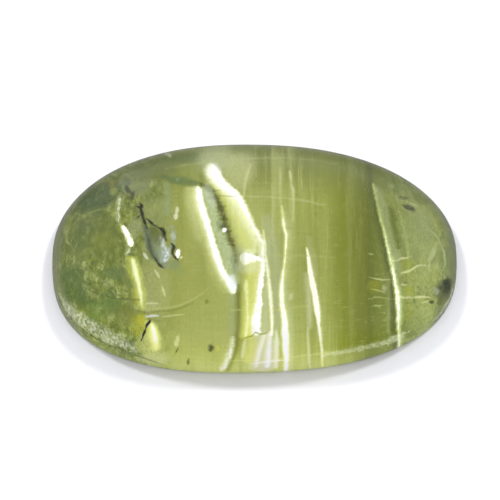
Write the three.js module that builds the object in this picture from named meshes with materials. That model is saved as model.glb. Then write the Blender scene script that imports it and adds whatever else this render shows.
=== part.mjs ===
import * as THREE from 'three';

// Oval cabochon of green opal, in millimetres: X runs along the stone, Y across it, Z up.
// The origin is the middle of the flat base.

// Outline seen from above
const length = 15.0;
const width = 8.85;
const outlinePower = 2.42; // exponent of the superellipse at the wall, where 2 is a true ellipse
const crownPower = 2; // the dome's level lines round off to ellipses towards the crown
const endTaper = 0.036; // share by which the +X end is slimmer and the -X end fuller

// Heights
const height = 4.8;
const wallAtSides = 1.0; // upright wall under the dome, at the middle of the long sides
const wallAtTips = 0.55; // the same wall at the two ends
const domeLean = THREE.MathUtils.degToRad(12); // how far the dome leans in from the wall at once

// Small bevel between the flat base and the wall
const bevelWidth = 0.12;
const bevelShare = 0.14; // share of the wall's height that the bevel takes

// Fineness of the faceted solid
const stepsAround = 112;
const stepsOverDome = 17;

// The profile is drawn at unit radius, with levels for heights: 0 is the base, 1 the top of the
// wall and 2 the crown, so that one profile serves a wall that isn't equally high all round.
function profilePoints() {
  const points = [
    new THREE.Vector2(0, 0),
    new THREE.Vector2(1 - bevelWidth / (width / 2), 0),
    new THREE.Vector2(1, bevelShare),
  ];
  for (let step = 0; step <= stepsOverDome; step++) {
    const turn = domeLean + (Math.PI / 2 - domeLean) * (step / stepsOverDome);
    const radius = step === stepsOverDome ? 0 : Math.cos(turn) / Math.cos(domeLean);
    const rise = (Math.sin(turn) - Math.sin(domeLean)) / (1 - Math.sin(domeLean));
    points.push(new THREE.Vector2(radius, 1 + rise));
  }
  return points;
}

// Distance along one axis of a superellipse of unit size, from the circle's sine or cosine
function superellipse(share, power) {
  return Math.sign(share) * Math.pow(Math.abs(share), 2 / power);
}

function placeOnStone(point) {
  const radius = Math.hypot(point.x, point.y);
  const level = point.z;
  const across = radius > 0 ? point.y / radius : 0;
  const along = radius > 0 ? point.x / radius : 0;
  const wall = wallAtTips + (wallAtSides - wallAtTips) * across * across;
  const power = crownPower + (outlinePower - crownPower) * radius * radius;
  const tip = superellipse(along, power);
  const side = superellipse(across, power) * (1 - endTaper * tip);
  const z = level < 1 ? level * wall : wall + (level - 1) * (height - wall);
  return point.set((radius * tip * length) / 2, (radius * side * width) / 2, z);
}

function cutOpal() {
  const geometry = new THREE.LatheGeometry(profilePoints(), stepsAround);
  geometry.rotateX(Math.PI / 2);
  const position = geometry.getAttribute('position');
  const point = new THREE.Vector3();
  for (let index = 0; index < position.count; index++) {
    placeOnStone(point.fromBufferAttribute(position, index));
    position.setXYZ(index, point.x, point.y, point.z);
  }
  geometry.computeVertexNormals();
  const material = new THREE.MeshStandardMaterial({
    color: 0x9aa650,
    roughness: 0.12,
    metalness: 0,
  });
  const mesh = new THREE.Mesh(geometry, material);
  mesh.name = 'cut_opal';
  return mesh;
}

const part = new THREE.Group();
part.add(cutOpal());

export default part;
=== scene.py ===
import math

import bmesh
import bpy
import numpy as np
from mathutils import Matrix, Vector
from mathutils.bvhtree import BVHTree


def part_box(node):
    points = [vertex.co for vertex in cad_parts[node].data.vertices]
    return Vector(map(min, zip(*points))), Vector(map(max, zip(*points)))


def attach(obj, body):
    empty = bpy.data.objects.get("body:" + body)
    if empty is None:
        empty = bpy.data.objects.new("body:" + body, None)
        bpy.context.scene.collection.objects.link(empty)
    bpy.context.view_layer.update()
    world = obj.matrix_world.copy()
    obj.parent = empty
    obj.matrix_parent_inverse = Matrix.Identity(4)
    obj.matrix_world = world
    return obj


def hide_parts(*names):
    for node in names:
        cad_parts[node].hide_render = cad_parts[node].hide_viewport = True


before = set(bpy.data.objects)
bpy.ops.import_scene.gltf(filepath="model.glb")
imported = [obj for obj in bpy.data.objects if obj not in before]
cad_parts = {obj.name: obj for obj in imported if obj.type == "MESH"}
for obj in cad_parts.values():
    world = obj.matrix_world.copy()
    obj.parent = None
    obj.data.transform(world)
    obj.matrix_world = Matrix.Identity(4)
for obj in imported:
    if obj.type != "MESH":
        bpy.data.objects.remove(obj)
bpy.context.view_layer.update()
stoneLow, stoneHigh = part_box("cut_opal")
mm = 0.001
scene = bpy.context.scene
print("frame loaded, stone box in mm:", [round(v / mm, 2) for v in (*stoneLow, *stoneHigh)])

# Cut of the stone, in millimetres, where the frame doesn't say
cut = {
    "outlinePower": 2.42,      # superellipse exponent at the wall
    "crownPower": 2.0,         # and at the crown
    "endTaper": 0.036,         # the +X end is this much slimmer
    "wallAtSides": 1.0,
    "wallAtTips": 0.55,
    "domeLean": math.radians(12),
    "bevelWidth": 0.12,
    "bevelShare": 0.14,
    "halfLength": (stoneHigh[0] - stoneLow[0]) / 2 / mm,
    "halfWidth": 8.85 / 2,
    "height": stoneHigh[2] / mm,
}


# Camera at the photo's angle
viewAngle = {
    "elevation": 62.0,
    "roll": 0.45,              # degrees, the right end sits a little higher in the picture
    "distance": 250.0,
    "pixelsPerMm": 27.1,       # at the aimed height
    "frameSide": 500,
    "aimPixel": (254.4, 242.8),  # where the point at aimHeight over the base's middle shows
    "aimHeight": 2.0,
    "sensor": 36.0,
}


def makeCamera(v):
    angle = math.radians(v["elevation"])
    toCamera = Vector((0, -math.cos(angle), math.sin(angle)))
    up = Vector((0, math.sin(angle), math.cos(angle)))
    right = Vector((1, 0, 0))
    middle = v["frameSide"] / 2
    offRight = (v["aimPixel"][0] - middle) / v["pixelsPerMm"]
    offUp = (middle - v["aimPixel"][1]) / v["pixelsPerMm"]
    target = Vector((0, 0, v["aimHeight"])) - right * offRight - up * offUp
    data = bpy.data.cameras.new("photoCamera")
    data.sensor_width = v["sensor"]
    data.lens = v["pixelsPerMm"] * v["distance"] * v["sensor"] / v["frameSide"]
    data.dof.use_dof = False
    data.clip_start, data.clip_end = 0.01, 10.0
    camera = bpy.data.objects.new("photoCamera", data)
    turned = Matrix((right, up, toCamera)).transposed().to_4x4()
    place = Matrix.Translation((target + toCamera * v["distance"]) * mm)
    camera.matrix_world = place @ turned @ Matrix.Rotation(-math.radians(v["roll"]), 4, "Z")
    scene.collection.objects.link(camera)
    scene.camera = camera


makeCamera(viewAngle)
print("camera placed")


# A socket that can be used in Python expressions
class Wire:
    def __init__(self, tree, socket):
        self.tree = tree
        self.socket = socket

    # Any node: its type, its settings, which are set first, and the values or links of its sockets
    def node(self, kind, settings=None, values=None, output=0):
        return addNode(self.tree, kind, settings, values, output)

    def maths(self, operation, *others):
        return self.node("ShaderNodeMath", {"operation": operation}, dict(enumerate((self, *others))))

    def __add__(self, other):
        return self.maths("ADD", other)

    def __radd__(self, other):
        return self.maths("ADD", other)

    def __mul__(self, other):
        return self.maths("MULTIPLY", other)

    def __rmul__(self, other):
        return self.maths("MULTIPLY", other)

    def __sub__(self, other):
        return self.maths("SUBTRACT", other)

    def __rsub__(self, other):
        return self.maths("MULTIPLY_ADD", -1.0, other)

    # 0 before start and 1 after end, smooth between
    def step(self, start, end):
        low, high = min(start, end), max(start, end)
        first, last = (0.0, 1.0) if start < end else (1.0, 0.0)
        return self.node("ShaderNodeMapRange", {"interpolation_type": "SMOOTHSTEP", "clamp": False},
                         {0: self, 1: low, 2: high, 3: first, 4: last})

    # A curve through the points (place, value), level beyond both ends
    def curve(self, points):
        return self.node("ShaderNodeFloatCurve", {"points": points}, {"Value": self})

    # This colour where the mask is 0 and the other where it is 1
    def mix(self, other, mask, blend="MIX"):
        return self.node("ShaderNodeMix", {"data_type": "RGBA", "blend_type": blend},
                         {0: mask, 6: self, 7: other}, 2)

    def noise(self, scale, detail, roughness, stretch=(1, 1, 1)):
        place = self.node("ShaderNodeVectorMath", {"operation": "MULTIPLY"}, {0: self, 1: stretch})
        return self.node("ShaderNodeTexNoise", None,
                         {"Vector": place, "Scale": scale, "Detail": detail, "Roughness": roughness})


def addNode(tree, kind, settings=None, values=None, output=0):
    node = tree.nodes.new(kind)
    for key, value in (settings or {}).items():
        if key == "stops":
            while len(node.color_ramp.elements) < len(value):
                node.color_ramp.elements.new(1.0)
            for element, (place, colour) in zip(node.color_ramp.elements, value):
                element.position = place
                element.color = colour
        elif key == "points":
            node.mapping.use_clip = False
            curve = node.mapping.curves[0]
            curve.points[0].location = value[0]
            curve.points[-1].location = value[-1]
            for place, level in value[1:-1]:
                curve.points.new(place, level)
            for point in curve.points:
                point.handle_type = "AUTO_CLAMPED"
            node.mapping.update()
        else:
            setattr(node, key, value)
    for key, value in (values or {}).items():
        if isinstance(value, Wire):
            tree.links.new(value.socket, node.inputs[key])
        else:
            node.inputs[key].default_value = value
    return Wire(tree, node.outputs[output])


# A node group: its name, its inputs as (kind, wire) by their names, what it makes of them
# and the kinds of its outputs
def group(tree, name, wires, make, kinds):
    inner = bpy.data.node_groups.new(name, "ShaderNodeTree")
    for label, (kind, wire) in wires.items():
        inner.interface.new_socket(label, in_out="INPUT", socket_type="NodeSocket" + kind)
    for number, kind in enumerate(kinds):
        inner.interface.new_socket("Result" + str(number), in_out="OUTPUT", socket_type="NodeSocket" + kind)
    entry = inner.nodes.new("NodeGroupInput")
    made = make(*(Wire(inner, socket) for socket in entry.outputs[:len(wires)]))
    leave = inner.nodes.new("NodeGroupOutput")
    for number, wire in enumerate(made):
        inner.links.new(wire.socket, leave.inputs[number])
    outer = tree.nodes.new("ShaderNodeGroup")
    outer.node_tree = inner
    for socket, (kind, wire) in zip(outer.inputs, wires.values()):
        tree.links.new(wire.socket, socket)
    return [Wire(tree, socket) for socket in outer.outputs]


# A colour as it shows on screen, made linear and shared by the light that falls on the stone
def hue(red, green, blue):
    share = np.array([red, green, blue]) / 255
    linear = np.where(share <= 0.04045, share / 12.92, ((share + 0.055) / 1.055) ** 2.4)
    shared = (linear - studio["sheen"]) / studio["lightOnTop"]
    return (*np.clip(shared, studio["darkest"], studio["palest"]).tolist(), 1.0)


studio = {
    "lightOnTop": 1.26,        # what a white face that looks up shows
    "sheen": 0.03,             # what the gloss adds to it
    "darkest": 0.004,          # the darkest and the palest colour of any material
    "palest": 0.92,
    "worldAbove": 0.93,
    "worldBelow": 0.32,
    "worldEdge": (-0.5, 0.0),
    "lampElevation": 54.0,     # behind the stone, so that its shadow falls towards the camera
    "lampSpread": 8.0,
    "lampTurn": 49.0,
    "lampStrength": 2.6,
    "floorSide": 3.0,
    "floorDrop": 0.02,         # millimetres under the stone
    "floorShade": (0.75, 0.75, 0.8),
}


# The plane that faces the photo's camera: x in millimetres, and rise, which grows up the picture
def fromPhoto(across, down):
    v = viewAngle
    turn = math.radians(v["roll"])
    right = (across - v["aimPixel"][0]) / v["pixelsPerMm"]
    up = (v["aimPixel"][1] - down) / v["pixelsPerMm"]
    x = right * math.cos(turn) + up * math.sin(turn)
    rise = up * math.cos(turn) - right * math.sin(turn)
    return x, rise + v["aimHeight"] * math.cos(math.radians(v["elevation"]))


# The cut stone's surface: radius and level run along the profile and angle runs round it.
# A superellipse at radius 1 is x = |cos|^(2/n), y = |sin|^(2/n), with n falling to 2 at the crown.
# Level 0 is the base, 1 the top of the wall and 2 the crown.
def onStone(radius, level, angle):
    c = cut
    power = c["crownPower"] + (c["outlinePower"] - c["crownPower"]) * radius ** 2
    along, across = np.cos(angle), np.sin(angle)
    tip = np.sign(along) * np.abs(along) ** (2 / power)
    side = np.sign(across) * np.abs(across) ** (2 / power) * (1 - c["endTaper"] * tip)
    wall = c["wallAtTips"] + (c["wallAtSides"] - c["wallAtTips"]) * across ** 2
    z = np.where(level < 1, level * wall, wall + (level - 1) * (c["height"] - wall))
    return np.stack([radius * tip * c["halfLength"], radius * side * c["halfWidth"], z + 0 * angle], -1)


# Faces of rings of corners: quads between them, and triangles to the two points that close the first and last
def netFaces(rings, around):
    row, corner = np.meshgrid(np.arange(rings - 1), np.arange(around), indexing="ij")
    low, high, after = row * around, (row + 1) * around, (corner + 1) % around
    quads = np.stack([low + corner, low + after, high + after, high + corner], -1)
    turn = np.arange(around)
    onward = (turn + 1) % around
    last = (rings - 1) * around
    first = np.stack([onward, turn, np.full(around, rings * around)], -1)
    final = np.stack([last + turn, last + onward, np.full(around, rings * around + 1)], -1)
    return quads.reshape(-1, 4).tolist() + first.tolist() + final.tolist()


# The smooth stone: rings over the base, the bevel, the wall and the dome
def polishedStone(v):
    c = cut
    inBase, inWall = v["ringsInBase"], v["ringsInWall"]
    turn = np.linspace(c["domeLean"], math.pi / 2, v["ringsOverDome"] + 1)
    domeRadius = np.cos(turn) / math.cos(c["domeLean"])
    domeLevel = 1 + (np.sin(turn) - math.sin(c["domeLean"])) / (1 - math.sin(c["domeLean"]))
    edge = 1 - c["bevelWidth"] / c["halfWidth"]
    radius = np.concatenate([np.linspace(v["firstRing"], edge, inBase), np.ones(inWall + 1), domeRadius[:-1]])
    wallLevel = np.linspace(c["bevelShare"], 1, inWall + 2)[:-1]
    level = np.concatenate([np.zeros(inBase), wallLevel, domeLevel[:-1]])
    angle = np.linspace(0, 2 * math.pi, v["around"], endpoint=False)
    ring = onStone(radius[:, None], level[:, None], angle[None, :])
    points = np.concatenate([ring.reshape(-1, 3), [[0, 0, 0], [0, 0, c["height"]]]])
    mesh = bpy.data.meshes.new("polishedStone")
    mesh.from_pydata(points * mm, [], netFaces(len(radius), v["around"]))
    mesh.polygons.foreach_set("use_smooth", np.ones(len(mesh.polygons), dtype=bool))
    mesh.update()
    piece = bpy.data.objects.new("polishedStone", mesh)
    scene.collection.objects.link(piece)
    return piece


stoneNet = {
    "around": 480,
    "firstRing": 0.1,          # share of the half length, round the middle of the base
    "ringsInBase": 10,
    "ringsInWall": 5,          # between the bevel and the dome
    "ringsOverDome": 140,
}
stone = polishedStone(stoneNet)
print("stone surface made,", len(stone.data.polygons), "faces")

# Colours of the stone's layers, as they show on screen
pearl = (252, 253, 244)
cream = (234, 238, 176)
lime = (204, 209, 92)
moss = (84, 102, 42)
mist = (164, 182, 138)
ink = (24, 26, 16)


# A mark along a route of (across, down, half width) in photo pixels. Edges is the softness on its two sides.
# Core is a second colour in its middle, and coreAt where that starts and is full. Glow is a wash beside it as
# (width, colour, strength), on the left or below where the width is positive. Ragged makes its outline uneven
# and uneven its strength. Tail is how slowly it thins out at its ends. Cover is how much clearness it takes.
def streak(route, tone, edges, strength, **more):
    mark = dict(route=route, tone=hue(*tone), edges=edges, strength=strength, **more)
    if "core" in more:
        mark["core"] = hue(*more["core"])
    if "glow" in more:
        reach, shine, much = more["glow"]
        mark["glow"] = (reach, hue(*shine), much)
    return mark


# A fine pale hair with pointed ends
def hair(tone, edge, strength, *route):
    return streak(list(route), tone, (edge, edge), strength, ragged=0.2, tail=4)


# A spot: its middle, its half width and half height in photo pixels, its turn in degrees, its colour, its
# edge as a share of its size, and its strength. Rough makes its outline uneven; the rest is as above.
def spot(at, size, turn, tone, edge, strength, **more):
    return dict(at=at, size=size, turn=turn, tone=hue(*tone), edge=edge, strength=strength, **more)


# Layers that cross the stone from side to side
silkBands = {
    "paleStrip": streak([(167, 183, 2), (168, 200, 3), (167, 216, 2)], mist, (4, 4), 0.5),
    "lens": streak([(203, 188, 1.6), (209.4, 197, 5), (213.4, 207, 6.6), (216.4, 217, 7.4),
        (220, 230, 7.2), (223.4, 240, 6.4), (227, 250, 6.6), (229.8, 260, 7), (231.6, 270, 6.4),
        (234, 280, 4.6), (235, 290, 2.5)], (204, 219, 168), (3, 3), 0.9, ragged=0.8, uneven=0.3),
    "lowerLens": streak([(233.6, 290, 2), (233.8, 305, 3.4), (233.6, 322, 3.6), (233, 338, 2)],
        (166, 178, 128), (5, 3), 0.6, uneven=0.2),
    "lowerEdge": streak([(238, 284, 2), (238.6, 300, 2.4), (238.8, 320, 2.6), (237.6, 336, 2.6),
        (235.6, 348, 2.4), (231.6, 360, 2.2), (227.5, 371, 1.6)], (104, 110, 50), (4, 3), 0.65,
        glow=(-7, (160, 164, 44), 0.85), ragged=0.4),
    "broadGlow": streak([(212, 172, 3), (217, 182, 6), (226, 192, 8.6), (233.4, 203, 10),
        (238.6, 213, 10.2), (243, 224, 10.4), (247, 236, 10.4), (249.8, 246, 9.8), (250.6, 252, 8)],
        (228, 234, 176), (8, 5), 0.9, cover=0.7, ragged=2.4, tail=4),
    "broadLime": streak([(219, 193, 1), (227, 204, 2.6), (233, 215, 3.6), (238.6, 227, 5),
        (244, 238, 7.4), (247, 247, 7)], (196, 203, 92), (5, 8), 0.7, ragged=3.0, tail=4, uneven=0.2),
    "broadBand": streak([(212, 165, 1.4), (213.6, 170, 4.6), (216.4, 176, 6.4), (221, 184, 7),
        (229.4, 191.6, 7.2), (238, 199.8, 5.2), (243.4, 207.4, 3.8), (247.4, 216, 3.2), (251.6, 225, 3),
        (256.4, 233, 3), (261, 240.4, 3), (263.4, 247, 2.4), (264, 252, 1.2)], (238, 242, 194), (8, 3),
        1.0, core=pearl, cover=1.0, glow=(8, cream, 0.6), ragged=1.0, tail=5, coreAt=(0.45, 0.95)),
    "lensEdge": streak([(200, 183, 1), (208, 188, 2.4), (213.2, 194.6, 3.1), (218.8, 204.6, 3.4),
        (223.6, 217, 3.1), (227.6, 230, 2.6), (230.8, 240, 2.6), (234.6, 249, 1.9), (237, 258, 1.3),
        (238, 268, 0.5)], (84, 88, 14), (4, 4), 0.95, ragged=2.6, glow=(-8, (180, 186, 56), 0.6)),
    "leftBand": streak([(198, 187, 1.6), (199, 194, 4), (200.6, 203, 4.4), (203.6, 213, 4.2),
        (207, 225, 4), (211, 237, 3.8), (214.6, 249, 3.8), (219.6, 264, 4), (224.6, 275, 4.4),
        (229.6, 283, 4.6), (232.4, 289, 3.6), (233.4, 292, 2)], (238, 242, 194), (6, 2), 1.0, core=pearl,
        cover=1.0, ragged=0.8, glow=(14, (212, 219, 132), 0.85), tail=4, coreAt=(0.45, 0.95)),
    "leftBandWash": streak([(190, 190, 3), (192.6, 205, 5), (196, 222, 4.4), (199, 240, 2)],
        (226, 231, 160), (7, 6), 0.45, tail=6),
    "lowerGlow": streak([(253, 262, 6), (253, 274, 7.4), (252, 290, 8), (251, 305, 8), (249.4, 320, 7.4),
        (248, 335, 6.4)], (212, 218, 116), (6, 6), 0.85, cover=0.6, tail=5),
    "betweenGlow": streak([(265, 258, 1.4), (265.6, 274, 2.8), (265.8, 292, 4), (265.4, 312, 4.4),
        (264.6, 336, 3.4)], (216, 222, 168), (4, 4), 0.7, tail=5),
    "lowerBand": streak([(262.6, 246, 2), (262.4, 258, 3), (262, 268, 3), (260.4, 280, 3.4),
        (259, 292, 3.4), (258.4, 302, 3.8), (257, 311, 4.4), (256, 320, 5), (255.8, 328, 5),
        (256.4, 334, 3)], (226, 232, 164), (6, 1.6), 1.0, core=pearl, cover=1.0, ragged=1.2,
        coreAt=(0.45, 0.95)),
    "twinBand": streak([(263.6, 230, 0.5), (264.6, 244, 1), (266, 258, 1.3), (267.8, 270, 1.7),
        (269, 282, 1.9), (270.4, 294, 2.1), (271.4, 308, 1.9), (271.6, 322, 1.7), (271.6, 334, 1.6)],
        (228, 233, 170), (1.6, 1.4), 0.95, core=(248, 250, 226), cover=1.0, ragged=0.3, coreAt=(0.75, 1.0)),
    "threadLeft": streak([(247, 279, 0.5), (246, 288, 1.8), (247, 295, 1.1), (247.4, 310, 1.2),
        (247.2, 325, 1.5), (246.4, 336, 0.8)], cream, (2, 1.8), 0.75, cover=0.7, ragged=0.4),
    "footLeft": streak([(245.6, 338, 0.4), (244, 348, 1.8), (242.6, 357, 1.2)], cream, (2, 2), 0.8),
    "footMist": streak([(264, 334, 8), (263, 348, 13), (262, 368, 12)], (222, 228, 178), (5, 5), 0.75,
        tail=4),
    "footGlow": streak([(252, 338, 4), (251, 350, 6), (250, 362, 4)], (214, 220, 120), (4, 3), 0.7),
    "footOne": streak([(264, 335, 2), (261.6, 343, 2.2), (258.6, 352, 1.9), (256, 366, 1.2)],
        (238, 242, 214), (3.4, 2.4), 0.7, cover=0.6, ragged=0.5, tail=3),
    "footTwo": streak([(270, 332, 1.4), (269.4, 342, 2), (268.2, 352, 2.6), (267.4, 366, 2.4)],
        (240, 244, 220), (3.6, 2), 0.85, cover=0.7, ragged=0.5, tail=3),
    "footThree": streak([(276, 329, 0.8), (276.8, 340, 2.2), (276.4, 352, 2), (275.8, 367, 1.2)],
        (232, 238, 206), (2.6, 2.6), 0.7, cover=0.6, ragged=0.4, tail=3),
    "longBandGlow": streak([(287, 234, 0.6), (287, 246, 1.8), (286.4, 262, 2), (285.6, 280, 1.6)], lime,
        (3, 3), 0.6),
    "longBand": streak([(281.4, 206, 0.4), (282, 214, 1), (283.4, 226, 1.5), (285.6, 238, 1.5),
        (285.4, 250, 1.2), (284, 264, 1.2), (282.6, 274, 1.6), (281.4, 286, 2.4), (281.8, 300, 2.8),
        (283.2, 314, 3.2), (284.8, 328, 3.6), (285.6, 345, 3.4), (286.2, 360, 2.5), (285.6, 372, 1.6)],
        (222, 228, 140), (2.4, 2), 1.0, core=(250, 252, 230), cover=1.0, ragged=0.35, coreAt=(0.6, 0.95),
        glow=(-7, (218, 224, 170), 0.75)),
    "rightBand": streak([(306, 247, 0.3), (307.4, 256, 1.4), (309, 266, 2.3), (311, 278, 3),
        (313.4, 290, 3.3), (315.4, 301, 3.2), (317, 312, 2.8), (318.4, 324, 1.7), (320, 336, 1.2),
        (321, 347, 0.9), (322.4, 366, 0.5)], (222, 228, 150), (1.6, 2.2), 1.0, core=(250, 252, 230),
        cover=1.0, ragged=0.35, glow=(-5, (168, 178, 116), 0.5)),
    "footFrost": streak([(233.6, 336, 1), (232.4, 343, 2.2), (230.4, 350, 2.6), (228, 357, 2.8),
        (225, 365, 2.6), (222.6, 370, 1.4)], (226, 231, 196), (4, 3), 0.8, core=(242, 244, 222),
        cover=0.7, ragged=1.6, uneven=0.2, coreAt=(0.7, 1.0)),
    "rightFoot": streak([(307.4, 326, 0.3), (308, 342, 1.1), (308.8, 356, 1.3), (309.6, 369, 0.8)], cream,
        (1.6, 1.6), 0.75),
    "rightBandMist": streak([(308.6, 236, 0.6), (310, 248, 2), (312.4, 262, 2.4), (314.6, 276, 1.2)],
        (196, 204, 150), (3, 3.4), 0.45),
    "threadD": streak([(262, 214, 0.4), (262.4, 226, 1), (262.8, 240, 0.6)], (214, 220, 160), (2, 2.4),
        0.5),
    "rightHaze": streak([(305.4, 272, 0.8), (307.4, 286, 2.6), (308.6, 300, 3.2), (309, 314, 2.8),
        (309.4, 328, 1)], (218, 223, 168), (4.4, 4), 0.7),
    "centreHaze": streak([(267, 214, 1), (270, 236, 5), (274, 262, 6), (275, 300, 5), (276, 330, 3)],
        (200, 208, 158), (5, 5), 0.6),
    "crownThread": streak([(250.6, 164, 0.4), (248.4, 172, 1), (246, 180, 1.3), (244.4, 188, 1.2),
        (243.6, 198, 0.6)], cream, (2.4, 1.6), 0.6),
    "threadA": streak([(272.4, 184, 0.3), (272.8, 200, 0.8), (272.6, 222, 0.9), (272, 245, 0.4)], cream,
        (2, 2), 0.35),
    "threadB": streak([(279.6, 168, 0.3), (280.2, 182, 0.9), (280, 196, 0.6), (281, 206, 0.4)], cream,
        (2, 2), 0.45),
    "threadC": streak([(289.6, 171, 0.5), (290.2, 176, 1.2), (290.6, 183, 0.5), (292.4, 190, 1.3),
        (293, 200, 0.8), (292.4, 222, 0.4)], cream, (1.6, 1.8), 0.7),
    "lineZone": streak([(375, 186, 1), (381, 203, 5), (386, 220, 6), (390.6, 238, 5), (395, 256, 4),
        (399, 272, 3)], (174, 186, 130), (3, 5), 0.6),
    "lineShade": streak([(369.4, 158, 1), (370, 178, 2.4), (371.2, 192, 2.2), (373.6, 207, 2.2),
        (378, 226, 2.6), (382, 243, 2.8), (385.6, 260, 3), (388.8, 280, 3.4), (391, 300, 4),
        (392.4, 320, 4), (393.6, 338, 3.4), (394, 352, 2)], (92, 100, 22), (5, 1.8), 0.9),
    "shadeStrip": streak([(386.6, 272, 0.4), (387.4, 290, 1.6), (387.6, 312, 1.8), (388, 334, 1)],
        (164, 172, 108), (2, 2), 0.55),
    "brightLine": streak([(372.6, 182, 0.2), (374.4, 194, 0.5), (377.2, 206, 0.6), (380, 219, 0.8),
        (383.2, 231, 1.1), (386.2, 243, 1.6), (389.2, 256, 2), (391.8, 269, 2.3), (394.2, 281, 2.5),
        (396.8, 294, 2.9), (397.8, 306, 2.8), (397.8, 318, 2.1), (398.2, 330, 1.8), (399, 342, 1.6),
        (398.4, 352, 1.1)], (196, 208, 124), (2, 3), 0.9, core=(236, 242, 214), cover=1.0, ragged=0.7,
        uneven=0.12, coreAt=(0.62, 0.95), glow=(-7, mist, 0.75)),
    "rearShade": streak([(389.6, 206, 1), (391.6, 216, 3.2), (394.6, 232, 3.4), (398.6, 248, 2.4)],
        (110, 122, 50), (3, 3), 0.85),
    "rearLine": streak([(397.6, 208, 0.4), (400, 216, 1.2), (403, 228, 1.2), (406, 242, 1),
        (408, 256, 0.4)], (180, 191, 116), (2, 2), 0.7),
}

# Bright marks near the top only
glints = {
    "leftStreak": streak([(133, 257, 3.4), (134.4, 264, 5.2), (136.2, 272, 5.4), (138.6, 281, 5),
        (140.4, 291, 4.6), (141.6, 300, 4.2), (142, 306, 3.4), (142.4, 309, 1.6)], (196, 203, 108),
        (7, 5), 0.75, core=(234, 238, 186), cover=0.8, ragged=0.8, coreAt=(0.75, 1.05), tail=3,
        glow=(7, (150, 156, 36), 0.5)),
    "dropTrail": streak([(119.4, 196, 1), (119.4, 202, 2.6), (119, 208, 2.6), (118.4, 212, 1.6),
        (118.6, 218, 2.4), (120.6, 224, 1.6), (124, 230, 1.2), (129, 243, 1.6), (129.4, 250, 2.6),
        (128, 255, 1.2)], (204, 213, 142), (2.6, 2.4), 0.85, core=(238, 242, 214), ragged=0.9,
        uneven=0.35, coreAt=(0.7, 1.0)),
    "whiteDrop": streak([(124.4, 225.6, 1), (126, 230, 2.8), (128.6, 236, 3.2), (130.6, 241, 2.8),
        (131.6, 246, 1.2)], cream, (2.4, 2), 1.0, core=pearl, cover=1.0, ragged=1.8, tail=2),
    "footGlint": streak([(150.6, 320, 1), (153, 326, 3.8), (154.6, 334, 4.4), (155.6, 342, 3.6),
        (156.4, 350, 1.2)], (226, 232, 150), (7, 5), 0.95, core=(244, 246, 214), cover=0.9, ragged=0.9,
        coreAt=(0.75, 1.05), glow=(6, lime, 0.6)),
    "endArc": streak([(415, 229.4, 0.2), (426, 230, 0.7), (434, 234, 0.9), (440, 242, 1), (444, 252, 1),
        (445, 262, 0.9), (443, 271, 0.4)], (180, 191, 136), (1.6, 2), 0.75, ragged=0.3),
    # Painted highlight along the lower right rim
    "rimHighlightRight": streak([(454, 289, 0.3), (451.4, 298, 1.3), (447, 306, 1.7), (441, 314, 1.6),
        (434, 321, 0.6)], (206, 208, 198), (2.4, 1.8), 0.6, ragged=1.2, uneven=0.3),
    "cloudVeil": streak([(145, 226, 1.6), (149, 236, 4.4), (154, 246, 7), (160, 256, 8), (164.6, 263, 5),
        (166, 268, 2)], (146, 162, 140), (3, 5), 0.85, ragged=1.6, uneven=0.4),
    "cloudBright": streak([(161, 236, 1.4), (164, 243, 2.4), (166.6, 250, 4), (166.6, 257, 4.4),
        (165, 262, 2)], (178, 192, 186), (4, 3), 0.9, core=(214, 222, 222), ragged=1.6, uneven=0.3,
        cover=0.5, coreAt=(0.75, 1.0)),
    "cloudRight": streak([(172, 226, 1), (174, 234, 2.6), (173.6, 242, 2.4), (172, 250, 1.4)],
        (168, 182, 158), (3, 3), 0.75, ragged=1.8, uneven=0.4),
}

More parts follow.
